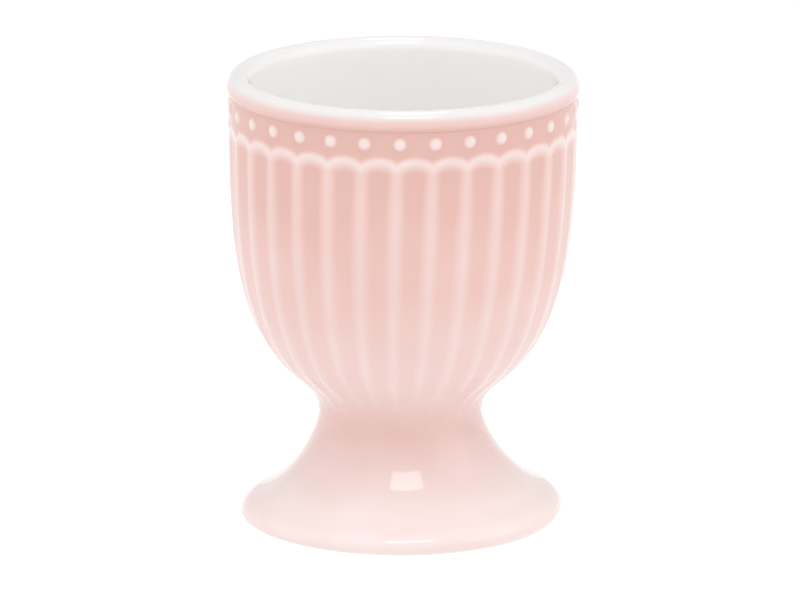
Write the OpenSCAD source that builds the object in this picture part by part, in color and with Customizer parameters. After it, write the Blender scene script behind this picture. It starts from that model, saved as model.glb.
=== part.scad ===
// Footed egg cup in glazed stoneware: a fluted bowl with a beaded border on a smooth trumpet foot.
// Millimetres, +Z up, origin at the centre of the face it stands on, front bead towards -Y.

/* [Overall] */
// Height from the table to the top of the lip
cup_h = 64.5; // [58:0.5:80]
// Diameter across the lip
rim_d = 49.8; // [45:0.1:60]
// Thickness of the lip from the outside to the mouth
lip_t = 3.2; // [2.4:0.1:4]
// Height of the lip's oval roll
lip_h = 3.5; // [2.6:0.1:4.2]

/* [Border] */
// Number of beads, scallops and flutes round the cup
repeats = 31; // [24:1:36]
// How far the beaded band is set in from the outside of the lip
band_inset = 0.55; // [0.4:0.05:1.2]
// Gap between the lip and the beads under it
bead_gap = 0.35; // [0.2:0.05:1.2]
// Diameter of a bead
bead_d = 2.3; // [1.8:0.1:2.8]
// How far a bead stands out of the band
bead_proud = 0.5; // [0.3:0.05:1]
// Depth of the tops of the scallops below the bead centres
scallop_drop = 1.9; // [1.6:0.1:3]
// Height of a scallop from its ends to its crest
scallop_rise = 0.9; // [0.5:0.1:1.4]
// Thickness of the raised scallop edge
scallop_t = 1.1; // [0.7:0.1:1.4]
// How far the scallop edge stands out of the wall
scallop_proud = 0.3; // [0.2:0.05:0.6]

/* [Bowl] */
// Depth of the flutes
flute_depth = 0.25; // [0.2:0.05:0.7]
// Share of each repeat that the rib between two flutes takes
rib_share = 0.4; // [0.25:0.05:0.6]
// Height over which the flutes deepen above the waist
flute_fade = 7; // [4:0.5:12]
// Diameter of the bowl where its underside turns into its side
knee_d = 33.9; // [31:0.1:40]
// Height of that turn above the waist
knee_rise = 7; // [5:0.2:10]
// Slope of the bowl at that turn, in degrees from the level
knee_slope = 47.5; // [40:0.5:55]
// Wall thickness at the turn
knee_t = 3.4; // [2.8:0.1:4.2]
// Thickness of the bowl's floor above the waist
floor_t = 4.6; // [3.5:0.1:6]
// Thickness of the white glaze inside
lining_t = 0.4; // [0.3:0.05:0.6]

/* [Foot] */
// Diameter of the foot
foot_d = 45.6; // [40:0.1:55]
// Diameter of the waist
waist_d = 23; // [20:0.5:28]
// Height of the waist above the table
waist_h = 15.7; // [13:0.1:20]
// Height of the foot's widest part above the table
edge_h = 1.2; // [0.8:0.1:2]
// How far the foot's edge curves in below that
edge_w = 1.5; // [1:0.1:3]
// Height of the rounded brow above it, if it were a whole quarter oval
brow_h = 2.9; // [1.2:0.1:3.6]
// How far that quarter oval would reach in
brow_w = 6; // [2:0.2:10]
// Slope at which the brow runs into the foot's upper face, in degrees
foot_slope = 24.5; // [15:0.5:32]
// Width of the face that the cup stands on
bearing_w = 4; // [2:0.1:5]
// Height of the unglazed clay at the bottom of the foot
bare_h = 0.4; // [0.3:0.1:0.8]
// Thickness between the top of the foot's hollow and the waist
web_t = 2.7; // [2:0.1:4]

/* [Hidden] */

pink = [0.93, 0.76, 0.74];
pale_pink = [0.96, 0.86, 0.84];
white = [0.95, 0.95, 0.94];
bare_clay = [0.86, 0.82, 0.76];

// Clearance between a scallop and the rib below it or the scallop beside it
scallop_gap = 0.1;
// How far a scallop's raised edge hangs below its own line at the ends, as a share of its thickness
scallop_hang = 0.75;
// How far a curve pulls along its direction at each end, as a share of its height or width
waist_pull = 0.42;
knee_pull = 0.22;
shoulder_pull = 0.6;
stem_pull = 0.16;
foot_pull = 0.43;
room_pull = 0.5;
floor_pull = 0.2;
hollow_pull = 0.2;
hollow_rise = 0.3;
web_pull = 0.8;
// Share of the fade above the waist after which the ribs are thick enough to start
rib_start = 0.3;
// Points on each stretch of a curve
steps = 10;
// Fineness of round parts, and of those that small pieces sit on
$fn = 96;
fine = 360;

pitch = 360 / repeats;
rim_r = rim_d / 2;
mouth_r = rim_r - lip_t;
band_r = rim_r - band_inset;
lip_size = [lip_t / 2, lip_h / 2];
lip_centre = [rim_r, cup_h] - lip_size;
// Where the roll of the lip meets the band, as an angle on the roll and as a height
lip_start = -acos((band_r - lip_centre.x) / lip_size.x);
lip_z = lip_centre.y + lip_size.y * sin(lip_start);
bead_z = lip_z - bead_gap - bead_d / 2;
crest_z = bead_z - scallop_drop - scallop_t / 2;
scallop_foot_z = crest_z - scallop_rise - scallop_hang * scallop_t;
flute_top_z = scallop_foot_z - scallop_gap;
rib_foot_z = waist_h + rib_start * flute_fade;
shoulder_z = crest_z;
knee = [knee_d / 2, waist_h + knee_rise];
uphill = [cos(knee_slope), sin(knee_slope)];
inner_knee = knee + knee_t * [-uphill.y, uphill.x];
floor_z = waist_h + floor_t;
foot_r = foot_d / 2;
standing_r = foot_r - edge_w;
hollow_r = standing_r - bearing_w;

// Points of a curve from a to d that leaves towards b and arrives from c, without its first point
function curve(a, b, c, d) = [
    for (i = [1 : steps])
        let (t = i / steps, u = 1 - t)
            u * u * u * a + 3 * u * u * t * b + 3 * u * t * t * c + t * t * t * d
];
// Points on an oval round c with half its width and height in size, without its first point
function oval(c, size, from, to) = [
    for (i = [1 : steps])
        let (a = from + (to - from) * i / steps) c + [size.x * cos(a), size.y * sin(a)]
];
function reversed(points) = [for (i = [len(points) - 1 : -1 : 0]) points[i]];

// Side of the bowl over the ribs, from the waist up to the flute tops
waist = [waist_d / 2, waist_h];
shoulder = [band_r + flute_depth, shoulder_z];
flank_h = shoulder.y - knee.y;
rib_side = concat(
    curve(waist, waist + [0, waist_pull * knee_rise], knee - waist_pull * knee_rise * uphill, knee),
    curve(knee, knee + knee_pull * flank_h * uphill, shoulder - [0, shoulder_pull * flank_h], shoulder)
);
// Depth of the flutes at height z, growing from nothing at the waist
function depth_at(z) =
    let (f = min(1, max(0, (z - waist_h) / flute_fade))) flute_depth * f * f * (3 - 2 * f);
flute_side = [for (p = rib_side) p - [depth_at(p.y), 0]];

// Outer side of the foot, from its edge over the brow and up to the waist
brow_angle = atan2(brow_h * cos(foot_slope), brow_w * sin(foot_slope));
brow = oval([foot_r - brow_w, edge_h], [brow_w, brow_h], 0, brow_angle);
brow_top = brow[steps - 1];
foot_side = concat(
    [[standing_r, 0]],
    oval([standing_r, edge_h], [edge_w, edge_h], -90, 0),
    brow,
    curve(
        brow_top, brow_top + foot_pull * waist_h * [-cos(foot_slope), sin(foot_slope)],
        waist - [0, stem_pull * waist_h], waist
    )
);

// Half of the cup's outline, from the axis round the foot, the bowl and the lip, with smooth sides
module cup_outline() {
    polygon(concat(
        [[0, 0]],
        foot_side,
        flute_side,
        [[band_r, lip_z]],
        oval(lip_centre, lip_size, lip_start, 90),
        [[0, cup_h]]
    ));
}

// Half of the room inside the bowl, drawn larger by grow
module bowl_room(grow = 0) {
    side_top = [mouth_r + grow, shoulder_z];
    turn = inner_knee + grow * [uphill.y, -uphill.x];
    bottom = [0, floor_z - grow];
    polygon(concat(
        [[0, cup_h + 1], bottom],
        curve(bottom, bottom + [floor_pull * knee_d, 0], turn - floor_pull * knee_d * uphill, turn),
        curve(turn, turn + knee_pull * flank_h * uphill, side_top - [0, room_pull * flank_h], side_top),
        [[mouth_r + grow, lip_centre.y]],
        oval(lip_centre + [grow, 0], lip_size, 180, 90),
        [[lip_centre.x, cup_h + 1]]
    ));
}

// Half of the hollow under the foot
module foot_room() {
    top = [0, waist_h - web_t];
    brim = [hollow_r, bare_h];
    inward = brim + [-hollow_pull * hollow_r, hollow_rise * waist_h];
    polygon(concat(
        [[0, -1], [hollow_r, -1], brim],
        curve(brim, inward, top + [web_pull * waist.x, 0], top)
    ));
}

// Everything in the half plane between two heights
module between(low, high) {
    translate([0, low]) square([2 * rim_d, high - low]);
}

// Bowl wall and floor, pink outside, whose side is the bottom of the flutes
module bowl() {
    color(pink) rotate_extrude() difference() {
        intersection() {
            cup_outline();
            between(waist_h, lip_z);
        }
        bowl_room(lining_t);
    }
}

// Soft ribs that stand between the flutes, one under each bead
module flute_ribs() {
    color(pale_pink) for (i = [0 : repeats - 1])
        rotate(-90 + (i - rib_share / 2) * pitch) rotate_extrude(angle = rib_share * pitch)
            intersection() {
                polygon(concat(rib_side, reversed(flute_side)));
                between(rib_foot_z, flute_top_z);
            }
}

// Raised edge of arches that closes the flutes at the top, with its low ends under the beads
module scallop_border() {
    half_span = band_r * sin(pitch / 2);
    arch_r = (half_span * half_span + scallop_rise * scallop_rise) / (2 * scallop_rise);
    span = pitch - scallop_gap / band_r * 180 / PI;
    color(pale_pink) for (i = [0 : repeats - 1]) rotate((i + 0.5) * pitch) intersection() {
        translate([0, 0, crest_z - arch_r]) rotate([90, 0, 0]) linear_extrude(rim_r) difference() {
            circle(r = arch_r + scallop_t / 2);
            circle(r = arch_r - scallop_t / 2);
        }
        rotate(-90 - span / 2) rotate_extrude(angle = span, $fn = fine)
            translate([band_r, scallop_foot_z])
                square([scallop_proud, crest_z + scallop_t - scallop_foot_z]);
    }
}

// Row of round beads on the band under the lip
module pearl_beads() {
    color(pale_pink) for (i = [0 : repeats - 1]) rotate(i * pitch) difference() {
        translate([0, bead_d / 2 - band_r - bead_proud, bead_z]) sphere(d = bead_d);
        cylinder(r = band_r, h = cup_h, $fn = fine);
    }
}

// Rolled lip with white glaze
module lip() {
    color(white) rotate_extrude() difference() {
        intersection() {
            cup_outline();
            between(lip_z, cup_h + 1);
        }
        bowl_room();
    }
}

// White glaze inside the bowl, up to the lip
module white_lining() {
    color(white) rotate_extrude() intersection() {
        difference() {
            bowl_room(lining_t);
            bowl_room();
        }
        between(waist_h, lip_z);
    }
}

// Smooth trumpet foot, hollow underneath
module pedestal() {
    color(pink) rotate_extrude() difference() {
        intersection() {
            cup_outline();
            between(bare_h, waist_h);
        }
        foot_room();
    }
}

// Unglazed ring that the cup stands on
module foot_ring() {
    color(bare_clay) rotate_extrude() difference() {
        intersection() {
            cup_outline();
            between(0, bare_h);
        }
        foot_room();
    }
}

bowl();
flute_ribs();
scallop_border();
pearl_beads();
lip();
white_lining();
pedestal();
foot_ring();
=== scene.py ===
import math

import bmesh
import bpy
import numpy as np
from mathutils import Matrix, Vector


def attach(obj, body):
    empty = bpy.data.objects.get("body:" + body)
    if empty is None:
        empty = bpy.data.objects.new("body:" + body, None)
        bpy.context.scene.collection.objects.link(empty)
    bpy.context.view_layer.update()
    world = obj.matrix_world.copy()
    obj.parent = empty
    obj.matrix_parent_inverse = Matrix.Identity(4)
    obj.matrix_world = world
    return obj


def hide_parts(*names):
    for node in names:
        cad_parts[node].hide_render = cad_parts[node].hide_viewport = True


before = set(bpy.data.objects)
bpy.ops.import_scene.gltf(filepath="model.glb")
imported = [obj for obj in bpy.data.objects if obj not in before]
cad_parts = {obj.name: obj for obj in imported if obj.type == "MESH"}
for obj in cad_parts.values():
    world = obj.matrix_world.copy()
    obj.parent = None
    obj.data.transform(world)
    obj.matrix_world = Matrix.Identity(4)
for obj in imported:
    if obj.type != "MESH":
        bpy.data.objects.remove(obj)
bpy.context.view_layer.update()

# Egg cup in glazed stoneware: a fluted bowl with a beaded border on a smooth trumpet foot.
# Sizes are millimetres, as in the part's source, and the meshes are metres.
mm = 0.001
poleRadius = 1e-6          # a ring smaller than this is one point on the axis
cup = {
    "height": 64.5,
    "rimDiameter": 49.8,
    "lipThickness": 3.2,
    "lipHeight": 3.5,      # of the lip's oval roll
    "bandInset": 0.55,     # how far the beaded band is set in from the outside of the lip
    "repeats": 31,         # beads, scallops and flutes round the cup
    "waistDiameter": 23.0,
    "waistHeight": 15.7,
    "liningThickness": 0.4,
    "bareHeight": 0.4,     # unglazed clay at the bottom of the foot
}
kiln = {
    "footTilt": 0.023,     # rise of the foot's flange towards +X, per mm
    "footShift": 0.2,
    "footFull": 1.3,       # height from which the foot has all of both
    "footFade": 7.0,       # and from which they fade towards the waist
    "bowlLean": 0.0054,    # lean of the bowl towards +X, per mm above the waist
}
rimRadius = cup["rimDiameter"] / 2
mouthRadius = rimRadius - cup["lipThickness"]
bandRadius = rimRadius - cup["bandInset"]
lipSize = Vector((cup["lipThickness"] / 2, cup["lipHeight"] / 2))
lipCentre = Vector((rimRadius, cup["height"])) - lipSize
lipStart = -math.degrees(math.acos((bandRadius - lipCentre.x) / lipSize.x))
lipFoot = lipCentre.y + lipSize.y * math.sin(math.radians(lipStart))
waist = Vector((cup["waistDiameter"] / 2, cup["waistHeight"]))


def linear(code):
    # sRGB hex to linear, because shader colours are linear
    channels = [int(code[i:i + 2], 16) / 255 for i in (1, 3, 5)]
    return [c / 12.92 if c < 0.04045 else ((c + 0.055) / 1.055) ** 2.4 for c in channels] + [1.0]


def addNode(tree, kind, inputs=None, **settings):
    # Adds a node, sets its properties, and fills or links its inputs by name or number
    node = tree.nodes.new(kind)
    node.location = (len(tree.nodes) % 10 * 190, -(len(tree.nodes) // 10) * 260)
    for name, value in settings.items():
        setattr(node, name, value)
    for key, value in (inputs or {}).items():
        if isinstance(value, bpy.types.Node):
            value = next(s for s in value.outputs if s.enabled)
        if isinstance(value, bpy.types.NodeSocket):
            tree.links.new(value, node.inputs[key])
        else:
            node.inputs[key].default_value = value
    return node


def smoothstep(low, high, value):
    share = min(1.0, max(0.0, (value - low) / (high - low)))
    return share * share * (3 - 2 * share)


def bezier(a, b, c, d, steps):
    # Points from a to d, without a, of a curve that leaves towards b and arrives from c
    points = []
    for i in range(1, steps + 1):
        t = i / steps
        u = 1 - t
        points.append(u * u * u * a + 3 * u * u * t * b + 3 * u * t * t * c + t * t * t * d)
    return points


def oval(centre, size, start, end, steps):
    # Points on an oval, with size as half its width and height
    angles = [math.radians(start + (end - start) * i / steps) for i in range(steps + 1)]
    return [centre + Vector((size.x * math.cos(a), size.y * math.sin(a))) for a in angles]


def shellOf(name, rings, columns, marks):
    # Closed shell from rings of points. A ring of one point is a pole, and without poles the last
    # ring joins the first. marks gives a number for each ring, kept on the mesh under its name.
    mesh = bpy.data.meshes.new(name)
    shell = bmesh.new()
    layers = {key: shell.verts.layers.float.new(key) for key in marks}
    loops = []
    for row, ring in enumerate(rings):
        loop = [shell.verts.new((x * mm, y * mm, z * mm)) for x, y, z in ring]
        for key, layer in layers.items():
            for vert in loop:
                vert[layer] = marks[key][row]
        loops.append(loop)
    pairs = list(zip(loops, loops[1:]))
    if len(loops[0]) > 1:
        pairs.append((loops[-1], loops[0]))
    for low, high in pairs:
        for i in range(columns):
            corners = [
                low[i % len(low)], low[(i + 1) % len(low)],
                high[(i + 1) % len(high)], high[i % len(high)]
            ]
            shell.faces.new(list(dict.fromkeys(corners)))
    bmesh.ops.recalc_face_normals(shell, faces=shell.faces)
    shell.to_mesh(mesh)
    shell.free()
    piece = bpy.data.objects.new(name, mesh)
    bpy.context.scene.collection.objects.link(piece)
    return piece


def turned(name, outline, columns, marks=None):
    # Turns an outline of (radius, height) about the cup's axis, as on a potter's wheel
    turns = [2 * math.pi * i / columns for i in range(columns)]
    rings = []
    for radius, height in outline:
        around = turns[:1] if radius < poleRadius else turns
        rings.append([(radius * math.sin(turn), -radius * math.cos(turn), height) for turn in around])
    return shellOf(name, rings, columns, marks or {})


def startTree(name, values):
    # An empty Geometry Nodes tree with a named input for each value
    tree = bpy.data.node_groups.new(name, "GeometryNodeTree")
    tree.interface.new_socket("Geometry", in_out="INPUT", socket_type="NodeSocketGeometry")
    tree.interface.new_socket("Geometry", in_out="OUTPUT", socket_type="NodeSocketGeometry")
    kinds = {int: "NodeSocketInt", float: "NodeSocketFloat", bpy.types.Material: "NodeSocketMaterial"}
    for label, value in values.items():
        tree.interface.new_socket(label, in_out="INPUT", socket_type=kinds[type(value)])
    start = tree.nodes.new("NodeGroupInput")
    return tree, {socket.name: socket for socket in start.outputs if socket.name}


def runTree(piece, tree, values):
    # Puts the tree on a piece, gives it its sizes and keeps the result as a plain mesh
    modifier = piece.modifiers.new(tree.name, "NODES")
    modifier.node_group = tree
    for socket in tree.interface.items_tree:
        if socket.in_out == "INPUT" and socket.name in values:
            modifier[socket.identifier] = values[socket.name]
    bpy.context.view_layer.update()
    depsgraph = bpy.context.evaluated_depsgraph_get()
    mesh = bpy.data.meshes.new_from_object(
        piece.evaluated_get(depsgraph), preserve_all_data_layers=True, depsgraph=depsgraph
    )
    piece.modifiers.remove(modifier)
    piece.data = mesh
    mesh.name = piece.name


def kilnWarp(mesh):
    # The slight sag of a fired pot: a tilted flange, and a bowl that leans a third of a degree
    spots = np.empty(len(mesh.vertices) * 3, dtype=np.float32)
    mesh.vertices.foreach_get("co", spots)
    spots = spots.reshape(-1, 3)
    x, z = spots[:, 0].copy(), spots[:, 2] / mm
    gone = np.clip((z - kiln["footFade"]) / (cup["waistHeight"] - kiln["footFade"]), 0, 1)
    onFoot = np.clip(z / kiln["footFull"], 0, 1) * (1 - gone)
    aboveWaist = np.maximum(z - cup["waistHeight"], 0)
    spots[:, 0] += kiln["footShift"] * mm * onFoot + kiln["bowlLean"] * mm * aboveWaist
    spots[:, 2] += kiln["footTilt"] * x * onFoot
    mesh.vertices.foreach_set("co", spots.ravel())
    mesh.update()


def finishPiece(piece, nodes, material=None, crease=40):
    # Smooth faces with crisp edges past the crease angle, then its place in the frame
    kilnWarp(piece.data)
    if material:
        piece.data.materials.clear()
        piece.data.materials.append(material)
    piece.data.polygons.foreach_set("use_smooth", [True] * len(piece.data.polygons))
    piece.data.set_sharp_from_angle(angle=math.radians(crease))
    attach(piece, "root")
    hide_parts(*nodes)
    triangles = sum(len(face.vertices) - 2 for face in piece.data.polygons)
    print(f"{piece.name}: {triangles} triangles")


# Glazes and clay. A glaze has a colour for each depth that it reaches on the cup, and these depths also
# carry painted light and painted shade where they are set.
glazeDepths = {"thin": 0.0, "relief": 0.2, "rib": 0.4, "even": 0.6, "pooled": 0.8, "deepest": 1.0}
pinkGlazeLook = {
    "thin": "#f6e7e6",       # on the flange, where the white body shows through, and paler there also as painted light on its upward face
    "relief": "#f0dad5",     # where it runs off the beads and arches
    "rib": "#edcec9",
    "even": "#eac4bc",
    "pooled": "#e3b8af",     # in the tops of the flutes and on the band
    "deepest": "#e0b3a9",
    "roughness": 0.06,
}
# The lip's white is painted darker (white) than the same glaze inside the lip (thin) and in the bowl:
# painted shade on top, where strong light falls, and painted light inside, where shade falls
lipGlazeLook = dict(pinkGlazeLook, thin="#fcfbfa", white="#e9e6e5")
# The same white glaze inside the bowl, painted paler as painted light against the shade there
paintedLightWhiteLook = {"relief": "#fcfbfa", "rib": "#fbfaf8", "roughness": 0.07}
glazeSkin = {
    "cloudScale": 110.0,     # cloudy differences in thickness, about 9 mm across
    "cloudDetail": 2.0,
    "cloudLow": 0.3,         # the noise keeps mostly between these
    "cloudHigh": 0.7,
    "cloudDepth": 0.05,      # by which a cloud is thinner or thicker
    "waveScale": 330.0,      # the surface isn't quite flat: soft waves about 3 mm long
    "waveDetail": 1.0,
    "waveStrength": 0.25,
    "waveHeight": 0.02,
    "smoother": 0.01,        # how far the roughness strays down and up
    "rougher": 0.02,
    "ior": 1.5,
}
bareClayLook = {
    "clay": "#f4ede6",
    "shade": "#ebe1d8",
    "clayFrom": 0.65,        # the noise from which a grain has the clay's colour, and up to
    "shadeTo": 0.35,         # which it has the shade's
    "gritSize": 0.4,
    "gritDetail": 3.0,
    "gritStrength": 0.6,
    "gritHeight": 0.1,
    "roughness": 0.85,
    "ior": 1.5,
}


def stonewareGlaze(name, look):
    # Stoneware with a glossy dipped glaze: milky, paler where it thins over edges and deeper where it
    # gathers, with a hard clear surface and a very slight waviness. Its depth also holds painted light and
    # painted shade, so some of the paler and deeper colour stands in for light.
    skin = glazeSkin
    material = bpy.data.materials.new(name)
    material.use_nodes = True
    tree = material.node_tree
    tree.nodes.clear()
    place = addNode(tree, "ShaderNodeTexCoord").outputs["Object"]
    clouds = addNode(
        tree, "ShaderNodeTexNoise",
        {"Vector": place, "Scale": skin["cloudScale"], "Detail": skin["cloudDetail"]}
    )
    drift = addNode(
        tree, "ShaderNodeMapRange",
        {
            "Value": clouds.outputs["Fac"], "From Min": skin["cloudLow"], "From Max": skin["cloudHigh"],
            "To Min": -skin["cloudDepth"], "To Max": skin["cloudDepth"],
        }
    )
    pool = addNode(tree, "ShaderNodeAttribute", attribute_name="glazePoolAndPaintedLight")
    depth = addNode(
        tree, "ShaderNodeMath", {0: pool.outputs["Fac"], 1: drift}, operation="ADD", use_clamp=True
    )
    ramp = addNode(tree, "ShaderNodeValToRGB", {"Fac": depth})
    stops = ramp.color_ramp.elements
    first, *between, last = [key for key in glazeDepths if key in look]
    stops[0].position, stops[0].color = glazeDepths[first], linear(look[first])
    stops[1].position, stops[1].color = glazeDepths[last], linear(look[last])
    for key in between:
        stops.new(glazeDepths[key]).color = linear(look[key])
    colour = ramp.outputs["Color"]
    if "white" in look:
        # A second glaze over the first, its white painted darker on top of the lip as painted shade
        # against the strong light there
        over = addNode(tree, "ShaderNodeAttribute", attribute_name="whiteGlaze")
        mix = addNode(
            tree, "ShaderNodeMix",
            {"Factor": over.outputs["Fac"], "A": colour, "B": linear(look["white"])},
            data_type="RGBA"
        )
        colour = mix.outputs["Result"]

    waves = addNode(
        tree, "ShaderNodeTexNoise",
        {"Vector": place, "Scale": skin["waveScale"], "Detail": skin["waveDetail"]}
    )
    bump = addNode(
        tree, "ShaderNodeBump",
        {
            "Height": waves.outputs["Fac"], "Strength": skin["waveStrength"],
            "Distance": skin["waveHeight"] * mm,
        }
    )
    gloss = addNode(
        tree, "ShaderNodeMapRange",
        {
            "Value": clouds.outputs["Fac"],
            "To Min": look["roughness"] - skin["smoother"], "To Max": look["roughness"] + skin["rougher"],
        }
    )
    shader = addNode(
        tree, "ShaderNodeBsdfPrincipled",
        {"Base Color": colour, "Roughness": gloss, "IOR": skin["ior"], "Normal": bump}
    )
    addNode(tree, "ShaderNodeOutputMaterial", {"Surface": shader})
    return material


def bareStoneware(name, look):
    # Stoneware fired bare: pale, dry and matt, with fine grit
    material = bpy.data.materials.new(name)
    material.use_nodes = True
    tree = material.node_tree
    tree.nodes.clear()
    place = addNode(tree, "ShaderNodeTexCoord").outputs["Object"]
    grit = addNode(
        tree, "ShaderNodeTexNoise",
        {"Vector": place, "Scale": 1000 / look["gritSize"], "Detail": look["gritDetail"]}
    )
    ramp = addNode(tree, "ShaderNodeValToRGB", {"Fac": grit.outputs["Fac"]})
    stops = ramp.color_ramp.elements
    stops[0].position, stops[0].color = look["shadeTo"], linear(look["shade"])
    stops[1].position, stops[1].color = look["clayFrom"], linear(look["clay"])
    bump = addNode(
        tree, "ShaderNodeBump",
        {
            "Height": grit.outputs["Fac"], "Strength": look["gritStrength"],
            "Distance": look["gritHeight"] * mm,
        }
    )
    shader = addNode(
        tree, "ShaderNodeBsdfPrincipled",
        {
            "Base Color": ramp.outputs["Color"], "Roughness": look["roughness"], "IOR": look["ior"],
            "Normal": bump,
        }
    )
    addNode(tree, "ShaderNodeOutputMaterial", {"Surface": shader})
    return material


pinkGlaze = stonewareGlaze("pink_stoneware_glaze", pinkGlazeLook)
lipGlaze = stonewareGlaze("lip_stoneware_glaze", lipGlazeLook)
whiteGlaze = stonewareGlaze("white_glaze_with_painted_light", paintedLightWhiteLook)
bareClay = bareStoneware("bare_stoneware", bareClayLook)
print("glazes and clay ready")


# Bowl with its flutes, ribs and scalloped border
bowlShape = {
    "kneeDiameter": 33.9,
    "kneeRise": 7.0,
    "kneeSlope": 47.5,
    "kneeThickness": 3.4,
    "floorThickness": 4.6,
    "beadGap": 0.35,       # between the lip and the beads
    "scallopDrop": 1.9,    # of the scallop tops below the bead centres
    "waistPull": 0.42,     # how far the curves follow their ends before they turn
    "kneePull": 0.22,
    "shoulderPull": 0.6,
    "roomPull": 0.5,
    "floorPull": 0.2,
    "coveStart": 0.4,      # where the cove under the lip begins, below the foot of the roll
    "coveEnd": -40.0,      # and the angle on the roll where it ends
    "coveRise": 0.3,
    "covePull": 0.25,
    "bandGlaze": 0.12,     # extra glaze that lies on the band round the beads
    "bandGlazeFrom": -0.3, # heights over the scallop tops between which it comes in
    "bandGlazeTo": 0.8,
    "sideSteps": 60,
    "coveSteps": 8,
    "roomSteps": 9,
    "kneeRows": (24.0, 15),       # heights between which rows of points go round, and how many,
    "flankRows": (25.0, 54.0, 30),
    "borderRows": (54.4, 44),     # closest on the border
    "columnsPerFlute": 24,
}
relief = {
    "Flute Depth": 0.25,
    "Flute Fade": 7.0,
    "Scallop Rise": 0.9,
    "Scallop Thickness": 1.1,
    "Scallop Proud": 0.3,
    "Bead Diameter": 2.3,
    "Relief Blend": 0.2,   # softness of the corner between a rib and an arch
    "Pool From": 19.0,     # heights between which the glaze in the flutes gets deeper,
    "Pool To": 56.0,
    "Pool Rib From": 20.0, # and between which less of it stays on the ribs
    "Pool Rib To": 54.0,
    "Waist Pool And Shade To": 20.0, # height up to which more lies at the waist, partly as painted shade under the bowl
    "Pool And Shade Lip Drop": 1.3,  # how far below the lip it gathers, with painted shade in that corner
}
reliefShares = {
    "Rib Share": 0.35,     # half the width of a rib's foot, as a share of a repeat
    "Rib Fade From": -0.1, # where a rib ends at its arch, as shares of the scallop thickness
    "Rib Fade To": 0.5,
    "Arch Reach": 0.95,    # where an arch runs out above, as such a share
    "Arch Inside": -0.5,   # slope of its lower side, which runs out softly, beside the upper one
    "Outside Share": 0.2,  # how much a face on the outside points outwards at least
    "Border Turn": 0.9,    # degrees by which the moulded border sits beside the beads
    "Flute Lean": 0.045,   # degrees by which the flutes lean for each mm down
    "Pool Low": 0.28,      # glaze depth in the flutes above the waist and at their tops
    "Pool High": 0.92,
    "Waist Pool And Shade": 0.25,
    "Pool Rib Low": 0.68,  # share of it that stays on the ribs
    "Pool Rib High": 0.5,
    "Pool Arch": 0.2,
    "Pool Blend": 0.1,
    "Pool And Shade Round Beads": 0.05,
    "Pool And Shade Bead Reach": 0.95,
    "Pool And Shade Under Lip": 0.02,
}
beadHeight = lipFoot - bowlShape["beadGap"] - relief["Bead Diameter"] / 2
crestHeight = beadHeight - bowlShape["scallopDrop"] - relief["Scallop Thickness"] / 2
shoulder = Vector((bandRadius + relief["Flute Depth"], crestHeight))
knee = Vector((bowlShape["kneeDiameter"] / 2, cup["waistHeight"] + bowlShape["kneeRise"]))
kneeSlope = math.radians(bowlShape["kneeSlope"])
uphill = Vector((math.cos(kneeSlope), math.sin(kneeSlope)))
innerKnee = knee + bowlShape["kneeThickness"] * Vector((-uphill.y, uphill.x))
flankHeight = shoulder.y - knee.y
waistReach = bowlShape["waistPull"] * bowlShape["kneeRise"]
ribSide = [waist] + bezier(
    waist, waist + Vector((0, waistReach)), knee - waistReach * uphill, knee, bowlShape["sideSteps"]
) + bezier(
    knee, knee + bowlShape["kneePull"] * flankHeight * uphill,
    shoulder - Vector((0, bowlShape["shoulderPull"] * flankHeight)), shoulder, bowlShape["sideSteps"]
)

# The cove runs from the band onto the roll, and the bowl's skin ends with it at the seam
glazedBand = bandRadius + bowlShape["bandGlaze"]
coveFoot = Vector((glazedBand, lipFoot - bowlShape["coveStart"]))
seamTurn = math.radians(bowlShape["coveEnd"])
seam = lipCentre + Vector((lipSize.x * math.cos(seamTurn), lipSize.y * math.sin(seamTurn)))
seamRise = Vector((-lipSize.x * math.sin(seamTurn), lipSize.y * math.cos(seamTurn))).normalized()
cove = bezier(
    coveFoot, coveFoot + Vector((0, bowlShape["coveRise"])),
    seam - bowlShape["covePull"] * seamRise, seam, bowlShape["coveSteps"]
)


def fluteRadius(height):
    # Radius at the bottom of the flutes, or on the band above them
    side = np.interp(height, [p.y for p in ribSide], [p.x for p in ribSide])
    fade = smoothstep(cup["waistHeight"], cup["waistHeight"] + relief["Flute Fade"], height)
    onBand = smoothstep(
        crestHeight + bowlShape["bandGlazeFrom"], crestHeight + bowlShape["bandGlazeTo"], height
    )
    return side - relief["Flute Depth"] * fade + bowlShape["bandGlaze"] * onBand


def roomSide(grow, steps):
    # Inside of the bowl from the axis up to where the lip starts, drawn larger by grow
    bottom = Vector((0, cup["waistHeight"] + bowlShape["floorThickness"] - grow))
    turn = innerKnee + grow * Vector((uphill.y, -uphill.x))
    top = Vector((mouthRadius + grow, shoulder.y))
    across = bowlShape["floorPull"] * bowlShape["kneeDiameter"]
    points = [bottom]
    points += bezier(bottom, bottom + Vector((across, 0)), turn - across * uphill, turn, steps)
    points += bezier(
        turn, turn + bowlShape["kneePull"] * flankHeight * uphill,
        top - Vector((0, bowlShape["roomPull"] * flankHeight)), top, steps
    )
    return points + [Vector((mouthRadius + grow, seam.y))]


kneeTop, kneeCount = bowlShape["kneeRows"]
borderFoot, borderCount = bowlShape["borderRows"]
rows = list(np.linspace(cup["waistHeight"], kneeTop, kneeCount))
rows += list(np.linspace(*bowlShape["flankRows"])) + list(np.linspace(borderFoot, coveFoot.y, borderCount))
outside = [(fluteRadius(height), height) for height in rows] + [tuple(p) for p in cove]
inside = [tuple(p) for p in reversed(roomSide(cup["liningThickness"], bowlShape["roomSteps"]))]
bowlOutline = [(0.0, cup["waistHeight"])] + outside + inside
bowl = turned("fluted_bowl", bowlOutline, cup["repeats"] * bowlShape["columnsPerFlute"])


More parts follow.
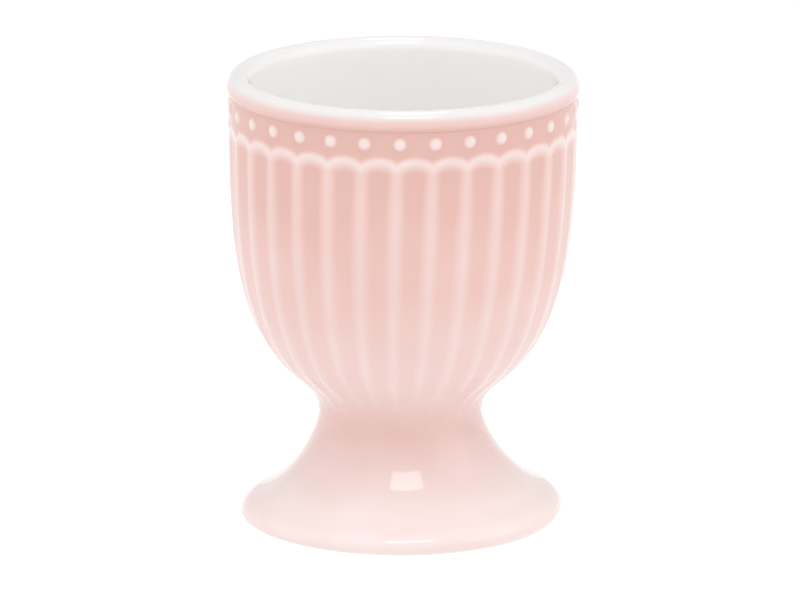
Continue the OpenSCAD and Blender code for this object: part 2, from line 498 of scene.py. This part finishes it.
def reliefTree(values):
    # Raises ribs and arches on the outside of the bowl and notes how thick the glaze lies
    tree, size = startTree("flutes_and_scallops", values)
    spot = addNode(tree, "ShaderNodeSeparateXYZ", {0: addNode(tree, "GeometryNodeInputPosition")})
    x, y, z = spot.outputs
    back = addNode(tree, "ShaderNodeMath", {0: y, 1: -1.0}, operation="MULTIPLY")
    turn = addNode(tree, "ShaderNodeMath", {0: x, 1: back}, operation="ARCTAN2")
    # The border sits a little beside the beads, and the flutes lean a little
    below = addNode(tree, "ShaderNodeMath", {0: size["Crest Height"], 1: z}, operation="SUBTRACT")
    lean = addNode(tree, "ShaderNodeMath", {0: below, 1: size["Flute Lean"]}, operation="MULTIPLY")
    shift = addNode(tree, "ShaderNodeMath", {0: lean, 1: size["Border Turn"]}, operation="ADD")
    sideTurn = addNode(tree, "ShaderNodeMath", {0: turn, 1: shift}, operation="ADD")
    # 0 on a rib or under a bead and 1 half way to the next, first for the border, then the beads
    acrosses = []
    for angle in (sideTurn, turn):
        turns = addNode(tree, "ShaderNodeMath", {0: angle, 1: 2 * math.pi}, operation="DIVIDE")
        phase = addNode(tree, "ShaderNodeMath", {0: turns, 1: size["Repeats"]}, operation="MULTIPLY")
        swing = addNode(tree, "ShaderNodeMath", {0: phase, 1: 0.5}, operation="PINGPONG")
        acrosses.append(addNode(tree, "ShaderNodeMath", {0: swing, 1: 2.0}, operation="MULTIPLY"))
    across, beadAcross = acrosses

    # Rib: a low rounded ridge
    ribFoot = addNode(tree, "ShaderNodeMath", {0: size["Rib Share"], 1: 2.0}, operation="MULTIPLY")
    rib = addNode(
        tree, "ShaderNodeMapRange",
        {"Value": across, "From Min": 0.0, "From Max": ribFoot, "To Min": 1.0, "To Max": 0.0},
        interpolation_type="SMOOTHSTEP"
    )
    fadeEnd = addNode(
        tree, "ShaderNodeMath", {0: size["Waist Height"], 1: size["Flute Fade"]}, operation="ADD"
    )
    fade = addNode(
        tree, "ShaderNodeMapRange", {"Value": z, "From Min": size["Waist Height"], "From Max": fadeEnd},
        interpolation_type="SMOOTHSTEP"
    )

    # Arch: distance from a circle over the middle of each flute
    halfTurn = addNode(tree, "ShaderNodeMath", {0: math.pi, 1: size["Repeats"]}, operation="DIVIDE")
    sine = addNode(tree, "ShaderNodeMath", {0: halfTurn}, operation="SINE")
    halfSpan = addNode(tree, "ShaderNodeMath", {0: sine, 1: size["Band Radius"]}, operation="MULTIPLY")
    spanSquare = addNode(tree, "ShaderNodeMath", {0: halfSpan, 1: 2.0}, operation="POWER")
    twoRises = addNode(tree, "ShaderNodeMath", {0: size["Scallop Rise"], 1: 2.0}, operation="MULTIPLY")
    chord = addNode(tree, "ShaderNodeMath", {0: spanSquare, 1: twoRises}, operation="DIVIDE")
    halfRise = addNode(tree, "ShaderNodeMath", {0: size["Scallop Rise"], 1: 0.5}, operation="MULTIPLY")
    archRadius = addNode(tree, "ShaderNodeMath", {0: chord, 1: halfRise}, operation="ADD")
    archCentre = addNode(
        tree, "ShaderNodeMath", {0: size["Crest Height"], 1: archRadius}, operation="SUBTRACT"
    )
    fromMiddle = addNode(tree, "ShaderNodeMath", {0: 1.0, 1: across}, operation="SUBTRACT")
    aside = addNode(tree, "ShaderNodeMath", {0: fromMiddle, 1: halfSpan}, operation="MULTIPLY")
    above = addNode(tree, "ShaderNodeMath", {0: z, 1: archCentre}, operation="SUBTRACT")
    above = addNode(tree, "ShaderNodeMath", {0: above, 1: 0.0}, operation="MAXIMUM")
    reach = addNode(
        tree, "ShaderNodeVectorMath",
        {0: addNode(tree, "ShaderNodeCombineXYZ", {"X": aside, "Y": above})}, operation="LENGTH"
    )
    past = addNode(
        tree, "ShaderNodeMath", {0: reach.outputs["Value"], 1: archRadius}, operation="SUBTRACT"
    )
    # Steep above, and running out softly into the flute below
    inwards = addNode(tree, "ShaderNodeMath", {0: past, 1: size["Arch Inside"]}, operation="MULTIPLY")
    off = addNode(tree, "ShaderNodeMath", {0: past, 1: inwards}, operation="MAXIMUM")
    offShare = addNode(
        tree, "ShaderNodeMath", {0: off, 1: size["Scallop Thickness"]}, operation="DIVIDE"
    )
    arch = addNode(
        tree, "ShaderNodeMapRange",
        {
            "Value": offShare, "From Min": 0.0, "From Max": size["Arch Reach"],
            "To Min": 1.0, "To Max": 0.0,
        },
        interpolation_type="SMOOTHSTEP"
    )
    pastShare = addNode(
        tree, "ShaderNodeMath", {0: past, 1: size["Scallop Thickness"]}, operation="DIVIDE"
    )
    under = addNode(
        tree, "ShaderNodeMapRange",
        {
            "Value": pastShare, "From Min": size["Rib Fade From"], "From Max": size["Rib Fade To"],
            "To Min": 1.0, "To Max": 0.0,
        },
        interpolation_type="SMOOTHSTEP"
    )
    ribHere = addNode(tree, "ShaderNodeMath", {0: rib, 1: under}, operation="MULTIPLY")
    ribHere = addNode(tree, "ShaderNodeMath", {0: ribHere, 1: fade}, operation="MULTIPLY")

    # Height of the relief, on the outside only
    ribHeight = addNode(
        tree, "ShaderNodeMath", {0: ribHere, 1: size["Flute Depth"]}, operation="MULTIPLY"
    )
    archHeight = addNode(
        tree, "ShaderNodeMath", {0: arch, 1: size["Scallop Proud"]}, operation="MULTIPLY"
    )
    raised = addNode(
        tree, "ShaderNodeMath", {0: ribHeight, 1: archHeight, 2: size["Relief Blend"]},
        operation="SMOOTH_MAX"
    )
    outwards = addNode(
        tree, "ShaderNodeVectorMath",
        {0: addNode(tree, "ShaderNodeCombineXYZ", {"X": x, "Y": y})}, operation="NORMALIZE"
    )
    facing = addNode(
        tree, "ShaderNodeVectorMath", {0: outwards, 1: addNode(tree, "GeometryNodeInputNormal")},
        operation="DOT_PRODUCT"
    )
    isOutside = addNode(
        tree, "ShaderNodeMath", {0: facing.outputs["Value"], 1: size["Outside Share"]},
        operation="GREATER_THAN"
    )
    lift = addNode(tree, "ShaderNodeMath", {0: raised, 1: isOutside}, operation="MULTIPLY")
    step = addNode(tree, "ShaderNodeVectorMath", {0: outwards, "Scale": lift}, operation="SCALE")

    # Glaze thickness from 0, thin on the relief, to 1, gathered: deep in the flutes and on the band.
    # Painted shade is added to it at the waist, round the beads and under the lip.
    floorPool = addNode(
        tree, "ShaderNodeMapRange",
        {
            "Value": z, "From Min": size["Pool From"], "From Max": size["Pool To"],
            "To Min": size["Pool Low"], "To Max": size["Pool High"],
        }
    )
    # Painted shade at the waist, under the bowl, on top of glaze that gathers there
    waistPoolAndShade = addNode(
        tree, "ShaderNodeMapRange",
        {
            "Value": z, "From Min": size["Waist Height"], "From Max": size["Waist Pool And Shade To"],
            "To Min": size["Waist Pool And Shade"], "To Max": 0.0,
        },
        interpolation_type="SMOOTHSTEP"
    )
    ribShare = addNode(
        tree, "ShaderNodeMapRange",
        {
            "Value": z, "From Min": size["Pool Rib From"], "From Max": size["Pool Rib To"],
            "To Min": size["Pool Rib Low"], "To Max": size["Pool Rib High"],
        }
    )
    ribPool = addNode(
        tree, "ShaderNodeMapRange",
        {"Value": ribHere, "From Min": 0.0, "From Max": 1.0, "To Min": 1.0, "To Max": ribShare}
    )
    archPool = addNode(
        tree, "ShaderNodeMapRange",
        {"Value": arch, "From Min": 0.0, "From Max": 1.0, "To Min": 1.0, "To Max": size["Pool Arch"]}
    )
    glaze = addNode(tree, "ShaderNodeMath", {0: floorPool, 1: waistPoolAndShade}, operation="ADD")
    glaze = addNode(tree, "ShaderNodeMath", {0: glaze, 1: ribPool}, operation="MULTIPLY")
    relieved = addNode(tree, "ShaderNodeMath", {0: archPool, 1: size["Pool High"]}, operation="MULTIPLY")
    glaze = addNode(
        tree, "ShaderNodeMath", {0: glaze, 1: relieved, 2: size["Pool Blend"]}, operation="SMOOTH_MIN"
    )
    # More gathers round each bead and in the corner under the lip, and the pink there is painted deeper as
    # painted shade
    beadSide = addNode(tree, "ShaderNodeMath", {0: beadAcross, 1: halfSpan}, operation="MULTIPLY")
    beadUp = addNode(tree, "ShaderNodeMath", {0: z, 1: size["Bead Height"]}, operation="SUBTRACT")
    beadReach = addNode(
        tree, "ShaderNodeVectorMath",
        {0: addNode(tree, "ShaderNodeCombineXYZ", {"X": beadSide, "Y": beadUp})}, operation="LENGTH"
    )
    beadShare = addNode(
        tree, "ShaderNodeMath", {0: beadReach.outputs["Value"], 1: size["Bead Diameter"]},
        operation="DIVIDE"
    )
    ring = addNode(
        tree, "ShaderNodeMapRange",
        {
            "Value": beadShare, "From Min": 0.5, "From Max": size["Pool And Shade Bead Reach"],
            "To Min": size["Pool And Shade Round Beads"], "To Max": 0.0,
        },
        interpolation_type="SMOOTHSTEP"
    )
    cornerFoot = addNode(
        tree, "ShaderNodeMath", {0: size["Lip Foot"], 1: size["Pool And Shade Lip Drop"]}, operation="SUBTRACT"
    )
    corner = addNode(
        tree, "ShaderNodeMapRange",
        {
            "Value": z, "From Min": cornerFoot, "From Max": size["Lip Foot"],
            "To Min": 0.0, "To Max": size["Pool And Shade Under Lip"],
        },
        interpolation_type="SMOOTHSTEP"
    )
    glaze = addNode(tree, "ShaderNodeMath", {0: glaze, 1: ring}, operation="ADD")
    glaze = addNode(tree, "ShaderNodeMath", {0: glaze, 1: corner}, operation="ADD")

    marked = addNode(
        tree, "GeometryNodeStoreNamedAttribute",
        {"Geometry": size["Geometry"], "Name": "glazePoolAndPaintedLight", "Value": glaze}, data_type="FLOAT"
    )
    moved = addNode(tree, "GeometryNodeSetPosition", {"Geometry": marked, "Offset": step})
    real = addNode(tree, "GeometryNodeRealizeInstances", {"Geometry": moved})
    glazed = addNode(tree, "GeometryNodeSetMaterial", {"Geometry": real, "Material": size["Glaze"]})
    addNode(tree, "NodeGroupOutput", {"Geometry": glazed})
    return tree


bowlValues = {key: value * mm for key, value in relief.items()}
bowlValues.update(reliefShares)
bowlValues.update({
    "Border Turn": math.radians(reliefShares["Border Turn"]),
    "Flute Lean": math.radians(reliefShares["Flute Lean"]) / mm,
    "Repeats": cup["repeats"],
    "Waist Height": cup["waistHeight"] * mm,
    "Band Radius": bandRadius * mm,
    "Crest Height": crestHeight * mm,
    "Bead Height": beadHeight * mm,
    "Lip Foot": lipFoot * mm,
    "Glaze": pinkGlaze,
})
runTree(bowl, reliefTree(bowlValues), bowlValues)
finishPiece(bowl, ["bowl", "flute_ribs", "scallop_border"])


# Row of beads on the band
beads = {
    "proud": 0.5,
    "skirt": 1.45,         # radius at which the glaze round a bead runs out on the band
    "blend": 0.35,
    "buried": 0.05,        # how far its back lies under the band
    "topPoolAndHighlight": 0.13,       # glaze depth on a bead, pale as thin glaze with a painted highlight, and on the band round it, deep as gathered glaze with painted shade
    "bandPoolAndShade": 0.9,
    "poolFrom": 0.45,      # radii between which the one turns into the other
    "poolTo": 1.3,
    "rings": 10,
    "sides": 24,
}


def flatBead(name):
    # One bead on a flat band: x along the band, z up it, y out of it
    radius = relief["Bead Diameter"] / 2
    sunk = beads["proud"] - bowlShape["bandGlaze"] - radius
    outline = []
    poolsAndPaintedLight = []
    for i in range(beads["rings"] + 1):
        away = beads["skirt"] * i / beads["rings"]
        dome = math.sqrt(max(radius * radius - away * away, 0)) + sunk
        # Smooth maximum of the dome and the band
        h = max(beads["blend"] - abs(dome), 0) / beads["blend"]
        outline.append((away, max(dome, 0) + h * h * beads["blend"] / 4))
        # Pale in the middle of the dome and deep round its foot: a painted highlight over thin glaze, and
        # painted shade where the bead meets the band
        onBand = smoothstep(beads["poolFrom"], beads["poolTo"], away)
        poolsAndPaintedLight.append(beads["topPoolAndHighlight"] + (beads["bandPoolAndShade"] - beads["topPoolAndHighlight"]) * onBand)
    outline += [(beads["skirt"], -beads["buried"]), (0.0, -beads["buried"])]
    poolsAndPaintedLight += [beads["bandPoolAndShade"]] * 2
    turns = [2 * math.pi * i / beads["sides"] for i in range(beads["sides"])]
    rings = []
    for away, height in outline:
        around = turns[:1] if away < poleRadius else turns
        rings.append([(away * math.cos(turn), height, away * math.sin(turn)) for turn in around])
    return shellOf(name, rings, beads["sides"], {"glazePoolAndPaintedLight": poolsAndPaintedLight})


def beadTree(values):
    # Lays the beads out in a line as long as the band, then bends the line round it
    tree, size = startTree("row_of_beads", values)
    bandLength = addNode(
        tree, "ShaderNodeMath", {0: size["Band Radius"], 1: 2 * math.pi}, operation="MULTIPLY"
    )
    pitch = addNode(tree, "ShaderNodeMath", {0: bandLength, 1: size["Repeats"]}, operation="DIVIDE")
    line = addNode(
        tree, "GeometryNodeMeshLine",
        {
            "Count": size["Repeats"],
            "Start Location": addNode(tree, "ShaderNodeCombineXYZ", {"Z": size["Bead Height"]}),
            "Offset": addNode(tree, "ShaderNodeCombineXYZ", {"X": pitch}),
        },
        mode="OFFSET"
    )
    laid = addNode(tree, "GeometryNodeInstanceOnPoints", {"Points": line, "Instance": size["Geometry"]})
    real = addNode(tree, "GeometryNodeRealizeInstances", {"Geometry": laid})
    spot = addNode(tree, "ShaderNodeSeparateXYZ", {0: addNode(tree, "GeometryNodeInputPosition")})
    along, out, up = spot.outputs
    turn = addNode(tree, "ShaderNodeMath", {0: along, 1: size["Band Radius"]}, operation="DIVIDE")
    reach = addNode(tree, "ShaderNodeMath", {0: size["Band Radius"], 1: out}, operation="ADD")
    sine = addNode(tree, "ShaderNodeMath", {0: turn}, operation="SINE")
    cosine = addNode(tree, "ShaderNodeMath", {0: turn}, operation="COSINE")
    x = addNode(tree, "ShaderNodeMath", {0: sine, 1: reach}, operation="MULTIPLY")
    depth = addNode(tree, "ShaderNodeMath", {0: cosine, 1: reach}, operation="MULTIPLY")
    y = addNode(tree, "ShaderNodeMath", {0: depth, 1: -1.0}, operation="MULTIPLY")
    bent = addNode(
        tree, "GeometryNodeSetPosition",
        {"Geometry": real, "Position": addNode(tree, "ShaderNodeCombineXYZ", {"X": x, "Y": y, "Z": up})}
    )
    glazed = addNode(tree, "GeometryNodeSetMaterial", {"Geometry": bent, "Material": size["Glaze"]})
    addNode(tree, "NodeGroupOutput", {"Geometry": glazed})
    return tree


beadValues = {
    "Repeats": cup["repeats"],
    "Band Radius": glazedBand * mm,
    "Bead Height": beadHeight * mm,
    "Glaze": pinkGlaze,
}
beadRow = flatBead("bead_row")
runTree(beadRow, beadTree(beadValues), beadValues)
finishPiece(beadRow, ["pearl_beads"])


# Rolled lip. Angles are on its oval roll, from 0 on the outside over 90 on top to 180 inside.
lipShape = {
    "whiteFrom": (0.0, 46.0),     # where the white glaze begins over the pink, and lies full
    "clearFrom": (110.0, 175.0),  # where it gives way to the paler white inside, painted lighter as painted light against the shade in the bowl
    "pool": 0.5,                  # depth of the pink glaze
    "seamPoolAndShade": 0.47,             # and how much more gathers in the corner under the roll, with painted shade there
    "seamTo": (-50.0, 5.0),
    "poolTo": (50.0, 80.0),       # where the pink ends under the white
    "clear": -0.06,               # thinner than any cloud in the glaze thickens, so the inside of the lip keeps that paler, painted-light white
    "columns": 320,
    "steps": 36,
}
lipTurn = 180 - bowlShape["coveEnd"]
lipAngles = [bowlShape["coveEnd"] + lipTurn * i / lipShape["steps"] for i in range(lipShape["steps"] + 1)]
lipOutline = [tuple(p) for p in oval(lipCentre, lipSize, bowlShape["coveEnd"], 180, lipShape["steps"])]
lipOutline += [(mouthRadius, (lipCentre.y + seam.y) / 2), (mouthRadius, seam.y)]
lipWhite = []
lipPoolAndShade = []
for angle in lipAngles:
    cover = smoothstep(*lipShape["whiteFrom"], angle)
    lipWhite.append(cover * (1 - smoothstep(*lipShape["clearFrom"], angle)))
    # Deeper in the corner under the roll: gathered glaze and painted shade
    lipDepthAndShade = lipShape["pool"] + lipShape["seamPoolAndShade"] * (1 - smoothstep(*lipShape["seamTo"], angle))
    lipPoolAndShade.append(lipDepthAndShade - (lipDepthAndShade - lipShape["clear"]) * smoothstep(*lipShape["poolTo"], angle))
lipWhite += [0.0] * 2
lipPoolAndShade += [lipShape["clear"]] * 2
lipMarks = {"whiteGlaze": lipWhite, "glazePoolAndPaintedLight": lipPoolAndShade}
lip = turned("rolled_lip", lipOutline, lipShape["columns"], lipMarks)
finishPiece(lip, ["lip"], lipGlaze)


# White glaze inside the bowl, its colour painted paler as painted light against the shade inside
liningShape = {"pool": 0.3, "columns": 256, "steps": 20}
liningOutline = [tuple(p) for p in roomSide(cup["liningThickness"], liningShape["steps"])]
liningOutline += [tuple(p) for p in reversed(roomSide(0, liningShape["steps"]))]
liningMarks = {"glazePoolAndPaintedLight": [liningShape["pool"]] * len(liningOutline)}
lining = turned("lining_glaze", liningOutline, liningShape["columns"], liningMarks)
finishPiece(lining, ["white_lining"], whiteGlaze)


# Trumpet foot
footShape = {
    "diameter": 45.6,
    "edgeHeight": 1.2,     # of the widest part
    "edgeWidth": 1.5,      # how far the edge curves in below it
    "browHeight": 2.9,     # of the quarter oval above it, and how far that would reach in
    "browWidth": 6.0,
    "slope": 24.5,
    "bearingWidth": 4.0,
    "webThickness": 2.7,
    "footPull": 0.43,      # how far the curves follow their ends before they turn
    "stemPull": 0.16,
    "hollowPull": 0.2,
    "hollowRise": 0.3,
    "webPull": 0.8,
    "edgeSteps": 10,
    "browSteps": 16,
    "sideSteps": 40,
    "hollowSteps": 20,
    "columns": 320,
}
# Glaze depth on the foot, with painted light and shade in it: the flange is kept pale, painted light where
# it faces up, and the stem gets deeper towards the waist, painted shade under the bowl
footGlazeAndPaintedLight = {
    "flange": 0.06,        # glaze depth on the flange
    "stem": 0.48,          # how much deeper it gets towards the waist,
    "stemFrom": 4.5,       # from this height
    "stemRise": 9.6,
    "edge": 0.1,           # and at the bottom edge, between these heights
    "edgeTo": (0.8, 2.6),
    "hollow": 0.5,
}
slope = math.radians(footShape["slope"])
edgeSize = Vector((footShape["edgeWidth"], footShape["edgeHeight"]))
edgeCentre = Vector((footShape["diameter"] / 2 - edgeSize.x, edgeSize.y))
browSize = Vector((footShape["browWidth"], footShape["browHeight"]))
browCentre = Vector((footShape["diameter"] / 2 - browSize.x, edgeSize.y))
hollowRadius = edgeCentre.x - footShape["bearingWidth"]
browTurn = math.degrees(math.atan2(browSize.y * math.cos(slope), browSize.x * math.sin(slope)))
glazeEdge = math.degrees(math.asin(cup["bareHeight"] / edgeSize.y - 1))
footEdge = oval(edgeCentre, edgeSize, glazeEdge, 0, footShape["edgeSteps"])
footEdge += oval(browCentre, browSize, 0, browTurn, footShape["browSteps"])[1:]
brow = footEdge[-1]
footSide = footEdge + bezier(
    brow, brow + footShape["footPull"] * waist.y * Vector((-math.cos(slope), math.sin(slope))),
    waist - Vector((0, footShape["stemPull"] * waist.y)), waist, footShape["sideSteps"]
)
brim = Vector((hollowRadius, cup["bareHeight"]))
hollowTop = Vector((0, waist.y - footShape["webThickness"]))
hollowSide = [brim] + bezier(
    brim, brim + Vector((-footShape["hollowPull"] * hollowRadius, footShape["hollowRise"] * waist.y)),
    hollowTop + Vector((footShape["webPull"] * waist.x, 0)), hollowTop, footShape["hollowSteps"]
)
footOutline = [tuple(p) for p in reversed(hollowSide)] + [tuple(p) for p in footSide] + [(0.0, waist.y)]
footPoolAndPaintedLight = [footGlazeAndPaintedLight["hollow"]] * len(hollowSide)
# Painted light on the flange and painted shade up the stem towards the waist
for point in footSide:
    upStem = min(1.0, max(0.0, (point.y - footGlazeAndPaintedLight["stemFrom"]) / footGlazeAndPaintedLight["stemRise"]))
    atEdge = 1 - smoothstep(*footGlazeAndPaintedLight["edgeTo"], point.y)
    footPoolAndPaintedLight.append(footGlazeAndPaintedLight["flange"] + footGlazeAndPaintedLight["stem"] * upStem + footGlazeAndPaintedLight["edge"] * atEdge)
footPoolAndPaintedLight.append(footGlazeAndPaintedLight["flange"] + footGlazeAndPaintedLight["stem"])
foot = turned("trumpet_foot", footOutline, footShape["columns"], {"glazePoolAndPaintedLight": footPoolAndPaintedLight})
finishPiece(foot, ["pedestal"], pinkGlaze)


# Bare ring that the cup stands on
ringShape = {"bevel": 0.15, "steps": 8, "columns": 256}
ringOutline = [tuple(p) for p in oval(edgeCentre, edgeSize, -90, glazeEdge, ringShape["steps"])]
ringOutline += [
    (hollowRadius, cup["bareHeight"]), (hollowRadius, ringShape["bevel"]),
    (hollowRadius + ringShape["bevel"], 0.0)
]
ring = turned("bare_ring", ringOutline, ringShape["columns"])
finishPiece(ring, ["foot_ring"], bareClay)
print("all pieces made")


# Table, lights and camera
table = {
    "colour": "#6e6e6e",
    "roughness": 0.9,
    "glow": 0.88,
    "reach": 6.0,          # metres from the middle to each side
}
tent = {
    "radiance": 0.86,
    "backShare": 0.85,     # of it that comes from high behind the cup
    "behindFrom": 0.15,    # how far back, and how high up, the dimmer part begins
    "behindTo": 0.55,
    "highFrom": 0.08,
    "highTo": 0.22,
}
aimHeight = 8.0
softboxes = {              # directions from the cup, and metres
    "front_softbox": {
        "towards": (0.066, -0.55, 0.833), "distance": 2.0, "width": 0.94, "depth": 0.55,
        "radiance": 3.6, "seen": "gloss",
    },
    "overhead": {
        "towards": (0.03, 0.18, 1.0), "distance": 2.0, "width": 0.5, "depth": 1.05,
        "radiance": 3.2, "seen": "gloss",
    },
    "top_scrim": {
        "towards": (0.03, -0.22, 0.97), "distance": 2.2, "width": 2.2, "depth": 2.0,
        "radiance": 1.15, "seen": "diffuse",
    },
    "left_fill": {
        "towards": (-1.0, -0.3, 0.45), "distance": 2.4, "width": 1.8, "depth": 1.8,
        "radiance": 0.3, "seen": "diffuse",
    },
    "right_fill": {
        "towards": (1.0, -0.3, 0.45), "distance": 2.4, "width": 1.8, "depth": 1.8,
        "radiance": 0.45, "seen": "both",
    },
}
photoCamera = {
    "azimuth": 0.95,       # towards +X from the front bead
    "elevation": 14.685,
    "distance": 1168.4,
    "roll": 0.172,
    "lens": 370.7,
    "sensor": 36.0,
    "target": (-0.1, 0.0, 31.378),
    "clip": (0.1, 50.0),   # metres
}


def stageFloor():
    # White acrylic table, lit from below, so that it shows hardly any shadow
    mesh = bpy.data.meshes.new("floor")
    reach = table["reach"]
    corners = [(-reach, -reach, 0), (reach, -reach, 0), (reach, reach, 0), (-reach, reach, 0)]
    mesh.from_pydata(corners, [], [(0, 1, 2, 3)])
    floor = bpy.data.objects.new("floor", mesh)
    bpy.context.scene.collection.objects.link(floor)
    material = bpy.data.materials.new("white_acrylic")
    material.use_nodes = True
    shader = material.node_tree.nodes["Principled BSDF"]
    shader.inputs["Base Color"].default_value = linear(table["colour"])
    shader.inputs["Roughness"].default_value = table["roughness"]
    shader.inputs["Emission Color"].default_value = (1, 1, 1, 1)
    shader.inputs["Emission Strength"].default_value = table["glow"]
    mesh.materials.append(material)


def softbox(name, towards, distance, width, depth, radiance, seen):
    # A rectangular light that faces the cup from a direction, seen in "gloss", "diffuse" or "both"
    aim = Vector((0, 0, aimHeight * mm))
    direction = Vector(towards).normalized()
    lamp = bpy.data.lights.new(name, "AREA")
    lamp.shape = "RECTANGLE"
    lamp.size, lamp.size_y = width, depth
    lamp.energy = radiance * math.pi * width * depth
    light = bpy.data.objects.new(name, lamp)
    light.location = aim + direction * distance
    light.rotation_euler = direction.to_track_quat("Z", "Y").to_euler()
    light.visible_diffuse = seen != "gloss"
    light.visible_glossy = seen != "diffuse"
    bpy.context.scene.collection.objects.link(light)


def tentLight():
    # A white tent all round, dimmer high behind the cup, where it is open to the room
    world = bpy.data.worlds.new("studio")
    world.use_nodes = True
    tree = world.node_tree
    direction = addNode(tree, "ShaderNodeTexCoord").outputs["Generated"]
    towards = addNode(tree, "ShaderNodeSeparateXYZ", {0: direction})
    behind = addNode(
        tree, "ShaderNodeMapRange",
        {"Value": towards.outputs["Y"], "From Min": tent["behindFrom"], "From Max": tent["behindTo"]},
        interpolation_type="SMOOTHSTEP"
    )
    high = addNode(
        tree, "ShaderNodeMapRange",
        {"Value": towards.outputs["Z"], "From Min": tent["highFrom"], "From Max": tent["highTo"]},
        interpolation_type="SMOOTHSTEP"
    )
    room = addNode(tree, "ShaderNodeMath", {0: behind, 1: high}, operation="MULTIPLY")
    strength = addNode(
        tree, "ShaderNodeMapRange",
        {"Value": room, "To Min": tent["radiance"], "To Max": tent["radiance"] * tent["backShare"]}
    )
    background = tree.nodes["Background"]
    background.inputs["Color"].default_value = (1, 1, 1, 1)
    tree.links.new(strength.outputs[0], background.inputs["Strength"])
    bpy.context.scene.world = world


def placeCamera():
    data = bpy.data.cameras.new("camera")
    data.lens, data.sensor_width = photoCamera["lens"], photoCamera["sensor"]
    data.sensor_fit = "HORIZONTAL"
    data.clip_start, data.clip_end = photoCamera["clip"]
    camera = bpy.data.objects.new("camera", data)
    bpy.context.scene.collection.objects.link(camera)
    tilt = math.radians(photoCamera["elevation"])
    target = Vector(photoCamera["target"]) * mm
    away = photoCamera["distance"] * mm
    place = Vector((0, -away * math.cos(tilt), target.z + away * math.sin(tilt)))
    forward = (target - place).normalized()
    right = forward.cross(Vector((0, 0, 1))).normalized()
    up = right.cross(forward)
    roll = math.radians(photoCamera["roll"])
    turnedRight = math.cos(roll) * right + math.sin(roll) * up
    turnedUp = math.cos(roll) * up - math.sin(roll) * right
    pose = Matrix((turnedRight, turnedUp, -forward)).transposed().to_4x4()
    pose.translation = place
    camera.matrix_world = Matrix.Rotation(math.radians(photoCamera["azimuth"]), 4, "Z") @ pose
    bpy.context.scene.camera = camera


stageFloor()
for name, box in softboxes.items():
    softbox(name, **box)
tentLight()
bpy.context.scene.view_settings.view_transform = "Standard"
placeCamera()
print("studio ready")
